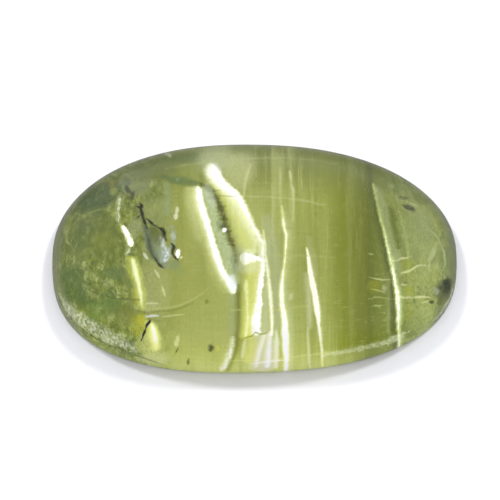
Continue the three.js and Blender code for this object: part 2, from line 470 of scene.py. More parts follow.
# Marks that run from left to right
crossLines = {
    "whiteTriangle": streak([(241.4, 257.6, 4), (244, 257.8, 6.2), (247, 258, 5.8), (251, 258.2, 4.8),
        (255, 258.6, 3.8), (260, 259.2, 2.8), (265, 260, 1.6)], (230, 236, 196), (2.4, 2.6), 0.95,
        core=pearl, cover=0.9, ragged=1.8, tail=2.4, uneven=0.08, coreAt=(0.5, 0.9)),
    # Painted reflections of a light tent's seams: thin pale lines across the dome
    "tentReflectionTop": streak([(165, 169, 0.3), (200, 163, 0.6), (230, 160, 0.7), (270, 158, 0.8),
        (310, 160, 0.6), (338, 164, 0.3)], (196, 204, 130), (1.2, 1.2), 0.3, ragged=0.4),
    "tentReflectionUpper": streak([(222, 196, 0.3), (240, 196.6, 0.7), (270, 197.4, 0.7), (300, 200.6, 0.8),
        (326, 206, 0.3)], (222, 228, 160), (1.2, 1.6), 0.36, ragged=0.5),
    "tentReflectionMiddle": streak([(262, 256.4, 0.4), (282, 255.6, 0.9), (300, 256, 0.7), (334, 258, 0.3)],
        (206, 214, 140), (1.4, 3), 0.4, ragged=0.4),
    "tentReflectionLower": streak([(230, 309.6, 0.4), (246, 309.6, 0.7), (262, 310, 0.7), (290, 307.6, 0.6),
        (316, 305, 0.3)], (214, 220, 132), (1, 1.4), 0.4, ragged=0.5),
    "tentReflectionFoot": streak([(228, 361, 0.3), (252, 359.6, 0.6), (280, 358, 0.8), (310, 354.6, 1),
        (335, 352, 0.6)], (216, 222, 150), (1, 1.6), 0.4, ragged=0.5),
    "frostLeft": streak([(59, 294, 1.6), (66, 306, 4.6), (76, 316.4, 7), (95, 329, 7.6), (116, 339.4, 7),
        (129, 345.6, 5), (138, 350, 2)], (166, 170, 146), (4, 6), 0.85, cover=0.8, ragged=1.8, uneven=0.8),
    "frostRight": streak([(322, 355.4, 0.4), (340, 352, 1.4), (356, 348.8, 1.7), (372, 345.6, 1.8),
        (384, 342.4, 2.2), (392, 339.4, 3.2), (399, 336.6, 3), (405, 333.4, 1.4), (411, 330, 0.2)],
        (196, 202, 168), (2.4, 3), 0.7, cover=0.9, ragged=1.0, uneven=0.7),
    # Painted highlight along the left rim
    "rimHighlightLeft": streak([(57.6, 250, 0.4), (60, 243, 0.8), (64, 235, 0.9), (69, 227.6, 0.5)],
        (176, 184, 138), (1.4, 1.8), 0.6, ragged=0.4),
    "bevelLine": streak([(62, 304, 0.3), (75, 322, 0.6), (100, 340, 0.7), (130, 353, 0.7),
        (165, 364.6, 0.3)], (86, 96, 52), (1, 1), 0.7),
    "greenEdge": streak([(86, 288, 0.4), (98, 293.4, 0.7), (110, 296.4, 0.7), (121, 298.4, 1),
        (141, 299.4, 0.4)], moss, (1.2, 1.2), 0.75),
    "fissureLight": streak([(141, 309.6, 0.4), (160, 308, 0.8), (177, 305.6, 0.8), (192, 299.6, 0.8),
        (202, 293.4, 0.6), (208, 288.6, 0.3)], (206, 212, 134), (1.2, 1.6), 0.55,
        glow=(5, (176, 184, 104), 0.4)),
    "fissureDark": streak([(146, 312.4, 0.3), (160, 311, 0.9), (178, 308.6, 0.9), (194, 302.4, 0.4)],
        (126, 132, 60), (1.6, 1.2), 0.6),
    "leftArc": streak([(72, 226, 0.5), (80, 218.6, 0.9), (90, 213, 1), (103, 209, 0.9),
        (116, 205.4, 0.4)], (152, 162, 90), (1.6, 3), 0.6),
    "bluntEdge": streak([(161, 176, 0.4), (172, 180, 3), (186, 182, 4), (197, 184, 2.6)], (92, 118, 70),
        (3, 3), 0.75),
    "dashA": streak([(147, 303, 0.4), (153, 302.6, 0.8), (159, 303, 0.4)], cream, (1, 1), 0.7),
    "dashB": streak([(147, 316, 0.4), (153, 315.2, 1), (159.6, 315.4, 0.4)], pearl, (1, 1), 0.85),
    "dashC": streak([(163, 316, 0.3), (173, 315, 0.8), (185, 313.4, 0.3)], cream, (1, 1), 0.45),
    "crossCrack": streak([(244, 337.4, 0.3), (249, 336, 0.8), (253, 334.6, 0.8), (256, 331.4, 0.9),
        (260, 333.6, 0.8), (268, 331.4, 0.3)], (140, 146, 44), (1, 1), 0.95, cover=0.5),
    # Painted highlight along the lower edge of the stone
    "footEdgeHighlight": streak([(252, 363.4, 0.2), (260, 362.4, 0.6), (270, 360.8, 0.7), (284, 360, 0.2)],
        (244, 247, 204), (1, 1.2), 0.75, cover=0.6),
    "crackA": streak([(197, 185.4, 0), (203, 186.2, 0.5), (210, 187.4, 0)], (74, 80, 30), (0.8, 0.8), 0.6),
    "crackB": streak([(205, 191, 0), (212, 191.6, 0.5), (222, 191.2, 0)], (84, 90, 36), (0.8, 0.8), 0.55),
    "crackC": streak([(214, 195.4, 0), (226, 196.8, 0.5), (238, 197.2, 0)], (96, 100, 44), (0.8, 0.8), 0.5),
    "hairA": hair(cream, 1, 0.66, (387, 260.6, -0.2), (395, 260.8, 0.6), (401, 258, 1.1),
        (406, 257.6, 0.7), (413, 256, -0.2)),
    "hairB": hair(cream, 1, 0.7, (397, 274, -0.2), (403, 272, 0.8), (409, 270.6, 1.3), (414, 267.6, 1.1),
        (419, 265.4, 0.7), (430, 266, -0.2)),
    "hairC": hair((214, 222, 160), 1, 0.75, (367, 276.6, -0.2), (376, 278.6, 0.5), (386, 279.6, 0.4),
        (392, 280, -0.2)),
    "hairD": hair(cream, 1, 0.65, (399, 284.8, -0.2), (403, 284.4, 0.9), (409, 284.4, -0.2)),
    "hairE": hair((206, 214, 150), 1.2, 0.7, (369, 288.6, -0.2), (376, 289.6, 0.5), (382, 291.6, 0.6),
        (386, 293, -0.2)),
    "hairF": hair(cream, 1.2, 0.6, (394, 291, -0.2), (399, 295.4, 1.1), (405, 297.6, 0.8),
        (411, 297.6, 0.4)),
    "hairG": hair(cream, 1, 0.66, (411, 297.8, -0.2), (418, 296.8, 1.1), (425, 297, 0.8),
        (433, 298.4, -0.2)),
    "hairH": hair((184, 194, 124), 1.2, 0.6, (366, 299, -0.2), (376, 297.2, 0.4), (392, 299, -0.2)),
    "hairI": hair((192, 202, 136), 1, 0.65, (369, 306.4, -0.2), (376, 305.6, 0.5), (386, 304.4, -0.2)),
    "hairJ": hair((210, 218, 160), 1, 0.7, (419, 303, -0.2), (425, 302, 0.8), (430, 300.4, -0.2)),
    "hairK": hair((190, 200, 140), 1.4, 0.7, (367, 253.6, -0.2), (370, 254, 0.7), (373, 254.4, -0.2)),
}

# Soft pools of colour
softSpots = {
    "darkShoulder": spot((99, 197), (25, 11), 24, (70, 92, 34), 0.9, 0.95),
    "darkHeart": spot((104, 203), (10, 5), 16, (70, 92, 40), 0.9, 0.7),
    "greyPatch": spot((136, 182), (15, 13), 10, (152, 161, 118), 0.6, 0.85),
    "bluePuff": spot((127, 182), (4.4, 4), 0, (104, 118, 100), 0.9, 0.8),
    "topOlive": spot((160, 168), (34, 10), 14, (106, 118, 52), 0.9, 0.8),
    "topGreen": spot((188, 158), (20, 5), 4, (92, 112, 52), 0.9, 0.8),
    "topPale": spot((190, 170), (12, 7), 0, (150, 160, 74), 0.9, 0.6),
    "bandRise": spot((216, 159), (13, 12), 10, (204, 212, 158), 1.7, 0.7, uneven=0.1),
    "besideDrop": spot((135, 229), (5, 8), -20, (178, 186, 132), 1.7, 0.75, uneven=0.2),
    "besideStreak": spot((156, 287), (11, 22), 6, (184, 191, 120), 1.7, 0.8, uneven=0.1),
    "lineFoot": spot((411, 325), (10, 8), 30, (112, 120, 58), 1.6, 0.85, uneven=0.2),
    "bandMist": spot((239, 172), (11, 15), -30, (200, 207, 144), 1.8, 0.75, uneven=0.1),
    "wallPale": spot((153, 360), (12, 6), 10, (202, 207, 144), 1.6, 0.75, uneven=0.1),
    "goldFleck": spot((111.6, 183), (3, 3), 0, (160, 152, 62), 0.9, 0.7),
    "paleFleckA": spot((113.6, 191), (3.4, 4), 0, (166, 176, 82), 0.9, 0.7),
    "leftField": spot((96, 236), (24, 22), 0, (98, 114, 38), 0.9, 0.7),
    "goldField": spot((104, 242), (11, 9), 0, (142, 150, 46), 0.9, 0.3),
    "leftDeep": spot((74, 286), (11, 20), 24, (74, 100, 48), 0.9, 0.85),
    "blueDeep": spot((117, 273), (9, 6), 0, (96, 120, 76), 0.8, 0.75),
    "lowField": spot((104, 308), (20, 10), 26, (112, 138, 64), 0.8, 0.7),
    "lowDark": spot((126, 316), (13, 10), 20, (112, 122, 40), 0.9, 0.8),
    "streakFoot": spot((136, 296), (5, 8), -8, (140, 142, 30), 0.8, 0.8),
    "yellowPool": spot((142, 325.6), (8, 10), 24, (186, 190, 48), 1.5, 0.65, uneven=0.1),
    "yellowHeart": spot((143, 320), (4, 5), 24, (206, 204, 60), 1.4, 0.7, uneven=0.1),
    "footPool": spot((150, 343), (12, 10), 0, (206, 212, 132), 0.9, 0.8),
    "paleBlock": spot((152, 306), (8, 6), 0, (188, 196, 130), 0.6, 0.7),
    "greyRight": spot((158, 212), (17, 13), -10, (164, 173, 112), 0.7, 0.7),
    "cloudTail": spot((176, 265), (6, 5), 35, (140, 156, 116), 0.6, 0.8),
    "cloudFoot": spot((180, 272), (8, 5), 0, (158, 170, 98), 0.8, 0.6),
    "rightPool": spot((416, 236), (17, 26), -10, (152, 165, 104), 0.8, 0.7),
    "shoulderShade": spot((420, 198), (9, 4), -30, (108, 118, 62), 0.9, 0.7),
    "goldA": spot((406, 266), (6.6, 5.6), 0, (148, 158, 42), 1.6, 0.7, uneven=0.2),
    "goldB": spot((407.6, 291), (4.6, 4.4), 0, (160, 168, 48), 1.6, 0.7, uneven=0.2),
    "goldC": spot((405.6, 310), (4.4, 9), 0, (142, 152, 38), 1.6, 0.7, uneven=0.2),
    "goldD": spot((374, 286), (6, 5), 0, (156, 160, 40), 1.6, 0.5, uneven=0.2),
    "mistSpot": spot((384, 287.6), (2.6, 3.6), 0, (206, 214, 166), 0.7, 0.5),
    "rightFoot": spot((421, 320), (14, 9), 36, (166, 178, 116), 0.9, 0.7),
    "paleFin": spot((432, 254), (2.6, 8), -26, (182, 194, 136), 0.8, 0.75),
    "paleFinLow": spot((427, 270), (2.2, 6), -22, (176, 188, 126), 0.8, 0.6),
    "nestGrey": spot((443, 290), (8, 9), -35, (88, 94, 72), 1.0, 0.9, uneven=0.2),
    "nestLight": spot((435, 291), (4, 4), 0, (176, 186, 144), 0.7, 0.2),
}

# Small hard marks
hardMarks = {
    "speckA": spot((128.4, 190), (2.2, 4.2), 38, (58, 62, 42), 1.0, 0.9),
    "speckB": spot((133, 196), (1.8, 3.6), -20, (74, 78, 54), 1.0, 0.85),
    "speckC": spot((129, 198.4), (3, 1.4), 0, (84, 88, 58), 1.0, 0.7),
    "beadD": spot((146.4, 256), (1.5, 3.6), 28, (232, 238, 205), 0.9, 0.9),
    "beadE": spot((164, 242), (1.5, 4), -10, pearl, 0.9, 0.9),
    "beadF": spot((174, 236.4), (2, 3), 20, (222, 234, 216), 1.0, 0.85),
    "beadG": spot((178.6, 253.6), (2.1, 4), -8, pearl, 0.7, 1.0, cover=1.0),
    "beadH": spot((182, 257.6), (1.7, 1.2), 20, cream, 0.8, 0.9),
    "beadI": spot((177.6, 210.4), (1.6, 3), -8, (236, 240, 190), 1.0, 0.9),
    "beadP": spot((176.6, 216.6), (1.7, 2.6), -14, (240, 243, 204), 1.0, 0.9),
    "beadJ": spot((158, 273.4), (1.2, 4.6), 28, cream, 0.9, 0.75),
    "beadK": spot((164, 291.4), (1.3, 4.6), 16, cream, 0.9, 0.75),
    "beadL": spot((151.8, 184.4), (1.3, 3.4), -12, (186, 198, 128), 1.0, 0.75),
    "beadM": spot((178, 180), (2, 1.4), 20, (212, 224, 190), 0.9, 0.7),
    "beadN": spot((155, 207), (1.4, 3), -20, (176, 190, 98), 1.0, 0.7),
    "beadO": spot((119, 297.2), (1.8, 1.2), 0, (206, 214, 140), 0.9, 0.8),
    "lowSpark": spot((177.4, 340.6), (2, 5), -12, (222, 228, 158), 1.0, 0.8),
    "lowPit": spot((177.4, 350), (0.9, 3), -30, (92, 100, 36), 1.0, 0.8),
    "rearPip": spot((408.6, 207.6), (6, 2.1), -22, (66, 70, 44), 1.2, 0.9, rough=0.3),
    # Painted highlight on the upper left rim
    "rimHighlightTop": spot((167.4, 154.4), (3.4, 1.3), -24, (214, 220, 190), 1.2, 0.6),
    "rearPipHalo": spot((413.6, 204.6), (4.6, 1), -22, (184, 196, 136), 1.0, 0.7),
    "rearPipSmall": spot((403, 197.8), (4, 1.7), -12, (84, 92, 52), 1.1, 0.75),
    "nestDark": spot((447, 285.6), (4.6, 6.4), -15, (56, 60, 54), 1.2, 0.9),
    "nestBlack": spot((445.8, 282.6), (2.6, 2.4), 0, ink, 1.0, 0.95),
    "nestTail": spot((440, 288), (3.4, 1.6), 0, (56, 60, 54), 1.2, 0.8),
    "pipRight": spot((431, 302.2), (2.1, 1.6), 0, (52, 56, 34), 1.1, 0.9),
    "pipBrown": spot((439.6, 301), (2.2, 3), -20, (112, 112, 76), 1.1, 0.8),
    "pipLow": spot((211, 347.4), (2.8, 3.3), 20, (66, 70, 16), 1.1, 0.95),
    "pipLowGlow": spot((217.6, 348), (1.8, 2.4), 0, (208, 212, 90), 1.1, 0.5),
    "pipFoot": spot((188.8, 361), (1.2, 2.8), -10, (92, 98, 30), 1.1, 0.85),
    "pitA": spot((207.6, 301), (1.6, 2.2), -20, (120, 126, 50), 1.1, 0.7),
}

# Marks laid over the bands
topMarks = {
    "underTriangle": spot((250, 266), (8, 5), 0, (236, 240, 192), 1.9, 0.5, rough=0.3),
    "bandPuff": spot((213.8, 172), (5, 6), 20, pearl, 1.9, 0.65, rough=0.3),
    "cloudShade": spot((157.4, 235), (5, 7), 30, (92, 100, 62), 1.7, 0.7, rough=0.4),
    "triangleSoft": spot((240.4, 258), (3.2, 9), 0, (186, 194, 140), 1.9, 0.7, rough=0.4),
    "lensPale": spot((210, 197), (3.4, 9), 20, (216, 228, 196), 1.7, 0.55, rough=0.4),
    "lensPaleLow": spot((224, 246), (3, 7), 14, (196, 212, 166), 1.7, 0.4, rough=0.4),
    "lensDeep": spot((235, 263), (3.4, 9), 4, (120, 136, 104), 1.2, 0.45),
    "lensShade": spot((220, 226), (3, 5), 10, (126, 142, 96), 1.2, 0.55),
    "lensHole": spot((223, 226.4), (3, 1.8), 30, (78, 86, 52), 1.2, 0.6),
    "lensDot": spot((224.6, 230.4), (2, 1.8), 20, pearl, 0.9, 1.0, cover=1.0),
    "paleStep": spot((232.6, 284), (3.6, 8), 0, (232, 238, 240), 1.0, 0.85, cover=0.8),
    "triangleTail": spot((239.6, 265), (3.4, 4), 0, (206, 214, 170), 1.2, 0.35),
    "threadKnot": spot((290.6, 296), (1.6, 3.2), -10, (226, 232, 176), 1.4, 0.6),
    "twinPale": spot((266.4, 256), (2.4, 14), -4, (206, 216, 176), 1.4, 0.4, rough=0.4),
    "rimShade": spot((442, 300), (2, 6), 24, (92, 96, 60), 1.2, 0.3),
    "nestPale": spot((436.4, 291), (2.4, 3), 0, (208, 214, 202), 1.6, 0.2, rough=0.4),
}

# Black growths; a knot is a short thick stretch
blackThreads = {
    "stem": streak([(140.6, 203, 0.8), (141.6, 207, 2.1), (141.4, 210, 1.6), (143, 213.6, 2.3),
        (143.8, 218, 1.7), (145, 221, 2), (146.6, 225, 1.2), (148.6, 229.6, 0.6)], ink, (1.2, 1.2), 0.97,
        cover=1.0, ragged=1.3),
    "sweep": streak([(144.6, 222, 0.6), (146.6, 231, 1.2), (149.6, 240, 1.8), (151.6, 248, 2),
        (154, 255, 2), (157, 260.6, 1.4)], (54, 60, 40), (2.8, 3.8), 0.85, ragged=1.8),
    "sweepFoot": streak([(156, 257.6, 0.6), (159, 262.6, 2), (162, 266, 2.4), (164.4, 268.6, 1)], ink,
        (1.2, 1.6), 0.95, cover=1.0, ragged=1.2),
    "hook": streak([(172.6, 243, 1.2), (174.8, 247, 1.9), (173.8, 252, 1.5), (175.4, 257, 1.8),
        (178.4, 260.6, 1)], (32, 38, 40), (1.2, 1.2), 0.95, cover=1.0, ragged=1.2),
    "hookFar": streak([(163.6, 227.6, 1), (164.6, 231.6, 2.2), (165.6, 236, 1.6), (167.6, 241, 0.7)],
        (52, 58, 52), (1.8, 1.8), 0.85, ragged=1.2),
    "lowGrain": streak([(151.6, 318.6, 0.6), (150, 321.6, 1.9), (147.6, 325.4, 1.4), (146.4, 328, 0.6),
        (145.6, 331, 1.5), (143.6, 335.6, 1.2), (141.8, 341, 0.5)], ink, (0.9, 0.9), 1.0, cover=1.0,
        ragged=0.8),
}
blackBranches = {
    "knob": streak([(136.6, 206.4, 0.4), (140.6, 207.6, 1.4), (143, 207, 0.6)], ink, (1, 1), 0.9,
        ragged=1.0),
    "barb": streak([(141, 215.6, 0.6), (139, 217, 1.1), (137.6, 218.6, 0.4)], ink, (1, 1), 0.85,
        ragged=0.8),
    "branch": streak([(146, 218.6, 0.6), (150, 221.6, 1.1), (153, 224, 1.3), (157.4, 226, 0.8),
        (161, 228.4, 1.2), (164, 231, 2.4), (166.6, 233.6, 1)], ink, (1, 1), 0.97, cover=1.0, ragged=1.1),
}

body = {
    "tail": 1.6,                  # pixels over which a route thins out at its ends
    "waver": 0.05,                # how far the layers stray from their routes, in millimetres
    "soften": 1.75,               # how much softer every edge is than its route says
    "coreAt": (0.45, 0.98),
    "grain": 0.22,                # how much the fibres thin out a band
    "fibreLimits": (0.25, 0.55),
    "leftCloudy": 0.95,           # how cloudy the two ends are
    "rightCloudy": 0.5,
    "fleckPatches": (0.42, 0.56),
    "gritLimits": (0.4, 0.58),
    "raggedness": 5.0,            # of the outlines of all marks
    "raggedShare": 0.75,          # what the silky bands take of it
    "teeth": 3.0,                 # and their own fine teeth
    "roughMarks": 1.0,            # how uneven the outline of a small mark is
    "roughSpots": 0.3,            # and of a soft spot
    "unevenSpots": 0.45,
    "clearMiddle": 0.36,          # share of the light that goes through
    "clearEnds": 0.5,
    "glassTint": (0.93, 0.95, 0.80, 1.0),
    "soak": (0.74, 0.82, 0.36, 1.0),
    "soakDensity": 130.0,          # per metre
    "gloss": 0.07,
    "grainOverAll": 0.16,         # how much the fine grain lightens and darkens everything
    "paintedSideLight": [(0.0, 1.1), (1.2, 0.95), (2.2, 0.62), (3.2, 0.34), (4.2, 0.1), (4.8, 0.0)],  # painted light that comes through the stone, by height
    "paintedSideLightFrom": (3.2, -2.6),  # from the far side to the near side
    "brightest": (0.94, 0.94, 0.92),
    "frostDull": 0.5,
    "frostDepth": 0.03,
    "bend": 1.45,                 # index of refraction of opal
}


# A route's mask: 1 within its half width of its middle, both given as curves of the place along it
def streakMask(along, across, ragged, mark, sideways):
    pixel = 1 / viewAngle["pixelsPerMm"]
    middle, width = [], []
    for *pixels, half in sorted(mark["route"], key=lambda point: point[0] if sideways else -point[1]):
        x, rise = fromPhoto(*pixels)
        place, level = (x, rise) if sideways else (rise, x)
        middle.append((place, level))
        width.append((place, half * pixel))
    left, right = (edge * pixel / 2 * body["soften"] for edge in mark["edges"])
    gone = -max(left, right)
    tail = mark.get("tail", body["tail"]) * pixel
    width = [(width[0][0] - tail, gone), *width, (width[-1][0] + tail, gone)]
    off = across - along.curve(middle)
    half = along.curve(width)
    if "ragged" in mark:
        half = ragged.maths("MULTIPLY_ADD", mark["ragged"] * pixel, half)
    before = off + half
    after = half - off
    inside = before.step(-left, left) * after.step(-right, right)
    if "glow" not in mark:
        return inside, None
    reach = mark["glow"][0] * pixel
    near, far = (before, after) if reach > 0 else (after, before)
    return inside, near.step(-abs(reach), right) * far.step(-right, right) * half.step(0, right)


# An ellipse's mask: 1 in the middle and 0 outside, from the squares of the two turned and scaled distances
def spotMask(along, up, ragged, mark, rough):
    pixel = 1 / viewAngle["pixelsPerMm"]
    x, rise = fromPhoto(*mark["at"])
    turn = math.radians(mark["turn"])
    squares = ragged * rough
    wide, tall = mark["size"]
    for size, a, b in ((wide, math.cos(turn), math.sin(turn)), (tall, -math.sin(turn), math.cos(turn))):
        a, b = a / (size * pixel), b / (size * pixel)
        off = along.maths("MULTIPLY_ADD", a, up.maths("MULTIPLY_ADD", b, -a * x - b * rise) if b else -a * x)
        squares = off.maths("MULTIPLY_ADD", off, squares)
    return squares.step((1 + mark["edge"] / 2) ** 2, (1 - mark["edge"] / 2) ** 2)


# The ground's tones, by millimetres from the middle towards the right end
groundTones = {
    -7.5: (116, 126, 70), -5.9: (122, 135, 52), -4.7: (130, 142, 56), -3.7: (154, 162, 78),
    -2.6: (170, 177, 94), -0.4: (181, 188, 108), 1.6: (174, 182, 98), 2.6: (168, 176, 90),
    3.2: (138, 147, 56), 4.2: (109, 118, 33), 5.0: (138, 149, 70), 6.2: (158, 168, 98), 7.5: (130, 140, 88),
}

# Grains of the solid: the noise's scale per millimetre, detail and roughness, and how it is stretched
grains = {
    "stray": (1.6, 3.0, 0.6),
    "fine": (11.0, 4.0, 0.62, (1.0, 0.035, 0.035)),
    "broad": (2.4, 2.0, 0.5, (1.0, 0.06, 0.06)),
    "polish": (9.0, 4.0, 0.6, (0.03, 1.0, 1.0)),
    "cloud": (0.7, 5.0, 0.62),
    "speck": (3.4, 5.0, 0.7, (1.3, 0.8, 0.8)),
    "grit": (11.0, 3.0, 0.62, (1.2, 0.7, 0.7)),
    "fleck": (7.0, 3.0, 0.6, (1.5, 0.4, 0.4)),
    "hairs": (8.0, 3.0, 0.6, (0.16, 1.0, 1.0)),
}

# Stretches of the stone in millimetres: where each starts and where it is full
zones = {
    "farSideShade": (2.2, 4.2),
    "nearSideLight": ((-1.4, -3.0), (-4.4, -2.6), (3.6, 1.2)),
    "nearWallLight": ((1.5, 0.4), (-3.0, -4.0), (4.8, 2.6), (-4.4, -1.6)),
    "silky": ((-1.2, 0.4), (4.4, 2.2)),
    "quiet": ((-3.6, -2.4), (4.3, 4.0)),
    "leftPart": (-2.6, -4.4),
    "rightPart": (4.4, 5.2),
    "hairs": ((3.9, 4.5), (6.9, 6.1), (-2.7, -1.9), (1.2, 0.2)),
    "rimShadeHeight": (1.7, 0.9),
    "leftTipShade": (-6.2, -6.9),
    "rightTipShade": (6.4, 6.9),
    "base": (0.05, 0.5),
}

# Painted shade and painted light over whole parts of the ground: the colour and its strength
washes = {
    "farSideShade": ((104, 114, 32), 0.75),
    "nearSideLight": ((190, 195, 116), 0.5),
    "nearWallLight": ((196, 202, 122), 0.6),
    "leftTipShade": ((128, 133, 104), 0.75),
    "rightTipShade": ((116, 122, 92), 0.7),
}

# Tints of the grains: the colour, the noise at which it starts and is full, and its strength
tints = {
    "fineLight": ((214, 220, 140), (0.5, 0.8), (0.3, 0.14)),     # in the silky middle, and beside it
    "fineDark": ((122, 130, 46), (0.5, 0.26), (0.08, 0.12)),
    "broadLight": ((196, 204, 128), (0.48, 0.72), 0.5),
    "broadDark": ((134, 142, 56), (0.5, 0.3), 0.3),
    "polishLight": ((206, 212, 136), (0.52, 0.8), 0.24),
    "polishDark": ((118, 126, 46), (0.48, 0.24), 0.12),
    "cloudDark": ((80, 106, 40), (0.48, 0.38), 0.7),
    "cloudLight": ((166, 174, 74), (0.52, 0.62), 0.6),
    "speckLight": ((190, 200, 130), (0.5, 0.66), 0.65),
    "speckDark": ((74, 94, 32), (0.5, 0.36), 0.65),
    "gritLight": ((206, 214, 154), (0.52, 0.72), 0.4),
    "gritDark": ((80, 94, 40), (0.48, 0.3), 0.35),
    "fleck": ((196, 206, 140), (0.56, 0.66), 0.4),
    "hairs": ((212, 220, 160), (0.54, 0.7), 0.2),
}


# The stone's colour, and how much of its clearness is left, at each place of the solid
def opalLayers(tree):
    where = addNode(tree, "ShaderNodeTexCoord", output=3)
    solid = addNode(tree, "ShaderNodeVectorMath", {"operation": "SCALE"}, {0: where, "Scale": 1 / mm})
    x, y, z = (addNode(tree, "ShaderNodeSeparateXYZ", None, {0: solid}, k) for k in range(3))
    lean = math.radians(viewAngle["elevation"])
    rise = y * math.sin(lean) + z * math.cos(lean)
    stray = (solid.noise(*grains["stray"]) - 0.5) * (body["waver"] * 2)
    xs = x + stray
    rs = rise + stray

    # Ground, from the left end to the right end
    length = max(groundTones) - min(groundTones)
    stops = [(at / length + 0.5, hue(*tone)) for at, tone in groundTones.items()]
    colour = addNode(tree, "ShaderNodeValToRGB", {"stops": stops},
                     {0: xs.maths("MULTIPLY_ADD", 1 / length, 0.5)})

    def wash(name, part):
        tone, strength = washes[name]
        return colour.mix(hue(*tone), part * strength)

    # Painted shade towards the far side; painted light, lighter and yellower, on the near side and at the
    # near wall, as if it came through the stone
    colour = wash("farSideShade", rs.step(*zones["farSideShade"]))
    up, left, right = zones["nearSideLight"]
    colour = wash("nearSideLight", rs.step(*up) * xs.step(*left) * xs.step(*right))
    low, near, right, left = zones["nearWallLight"]
    colour = wash("nearWallLight", z.step(*low) * y.step(*near) * xs.step(*right) * xs.step(*left))

    def tint(name, grain, part):
        tone, limits, strength = tints[name]
        return colour.mix(hue(*tone), grain.step(*limits) * part * strength)

    # Silky fibres across the middle, and the much fainter lines that cross them
    fine = solid.noise(*grains["fine"])
    broad = solid.noise(*grains["broad"])
    silky, quiet = (xs.step(*zones[name][0]) * xs.step(*zones[name][1]) for name in ("silky", "quiet"))
    for name in ("fineLight", "fineDark"):
        tone, limits, (inSilk, inQuiet) = tints[name]
        colour = colour.mix(hue(*tone), fine.step(*limits) * (silky * inSilk + quiet * inQuiet))
    colour = tint("broadLight", broad, silky)
    colour = tint("broadDark", broad, quiet)
    polish = solid.noise(*grains["polish"])
    colour = tint("polishLight", polish, quiet)
    colour = tint("polishDark", polish, quiet)

    # Cloudy green of the two ends
    cloud = solid.noise(*grains["cloud"])
    speck = solid.noise(*grains["speck"])
    grit = solid.noise(*grains["grit"])
    leftPart = xs.step(*zones["leftPart"])
    rightPart = xs.step(*zones["rightPart"])
    ends = leftPart * body["leftCloudy"] + rightPart * body["rightCloudy"]
    for name, grain in (("cloudDark", cloud), ("cloudLight", cloud), ("speckLight", speck),
                        ("speckDark", speck), ("gritLight", grit), ("gritDark", grit)):
        colour = tint(name, grain, ends)
    ragged = speck.maths("MULTIPLY_ADD", body["raggedness"], -body["raggedness"] / 2)
    teeth = ragged * body["raggedShare"] + polish.maths("MULTIPLY_ADD", body["teeth"], -body["teeth"] / 2)
    fleck = solid.noise(*grains["fleck"])
    tone, limits, strength = tints["fleck"]
    flecks = fleck.step(*limits) * speck.step(*body["fleckPatches"]) * ends
    colour = colour.mix(hue(*tone), flecks * strength)
    fromLeft, fromRight, fromNear, fromFar = zones["hairs"]
    hairZone = xs.step(*fromLeft) * xs.step(*fromRight) * rs.step(*fromNear) * rs.step(*fromFar)
    colour = tint("hairs", solid.noise(*grains["hairs"]), hairZone)
    gritty = grit.step(*body["gritLimits"])

    # Painted grey shade and reflection where the surface turns down at both tips
    rimShadeHeight = z.step(*zones["rimShadeHeight"])
    colour = wash("leftTipShade", rimShadeHeight * xs.step(*zones["leftTipShade"]))
    colour = wash("rightTipShade", rimShadeHeight * xs.step(*zones["rightTipShade"]))

    # Both ends are clearer than the silky middle
    clear = ends.maths("MULTIPLY_ADD", body["clearEnds"] - body["clearMiddle"], body["clearMiddle"])
    aboveBase = z.step(*zones["base"])
    grain = fine.step(*body["fibreLimits"]).maths("MULTIPLY_ADD", body["grain"], 1 - body["grain"])
    for name, marks, kind in (("softSpots", softSpots, "spot"), ("hardMarks", hardMarks, "spot"),
                              ("glints", glints, "up"), ("silkBands", silkBands, "up"),
                              ("crossLines", crossLines, "along"), ("topMarks", topMarks, "spot"),
                              ("blackThreads", blackThreads, "up"),
                              ("blackBranches", blackBranches, "along")):
        def layers(colour, clear, *places):
            for mark in marks.values():
                colour, clear = addMark(colour, clear, places, mark, kind, name)
            return colour, clear

        wires = {"Colour": ("Color", colour), "Clear": ("Float", clear), "Along": ("Float", xs),
                 "Up": ("Float", rs), "Above": ("Float", aboveBase),
                 "Ragged": ("Float", teeth if name == "silkBands" else ragged),
                 "Grain": ("Float", grain), "Grit": ("Float", gritty)}
        colour, clear = group(tree, name, wires, layers, ("Color", "Float"))

    # Painted light: the near side gets less light than the top, so its colour is brightened by height towards
    # the near side, a painted glow of what comes through the stone; the fine grain then lightens and darkens
    # everything
    paintedLightAndGrain = z.curve(body["paintedSideLight"]) * y.step(*body["paintedSideLightFrom"]) + 1.0
    paintedLightAndGrain = paintedLightAndGrain * grit.maths("MULTIPLY_ADD", body["grainOverAll"] * 2, 1 - body["grainOverAll"])
    paintedLitColour = colour.node("ShaderNodeVectorMath", {"operation": "SCALE"}, {0: colour, "Scale": paintedLightAndGrain})
    paintedLitColour = colour.node("ShaderNodeVectorMath", {"operation": "MINIMUM"}, {0: paintedLitColour, 1: body["brightest"]})
    frost = 0.0
    for name in ("frostLeft", "frostRight"):
        frost = streakMask(xs, rs, ragged, crossLines[name], True)[0] * aboveBase + frost
    return paintedLitColour, clear, frost, grit


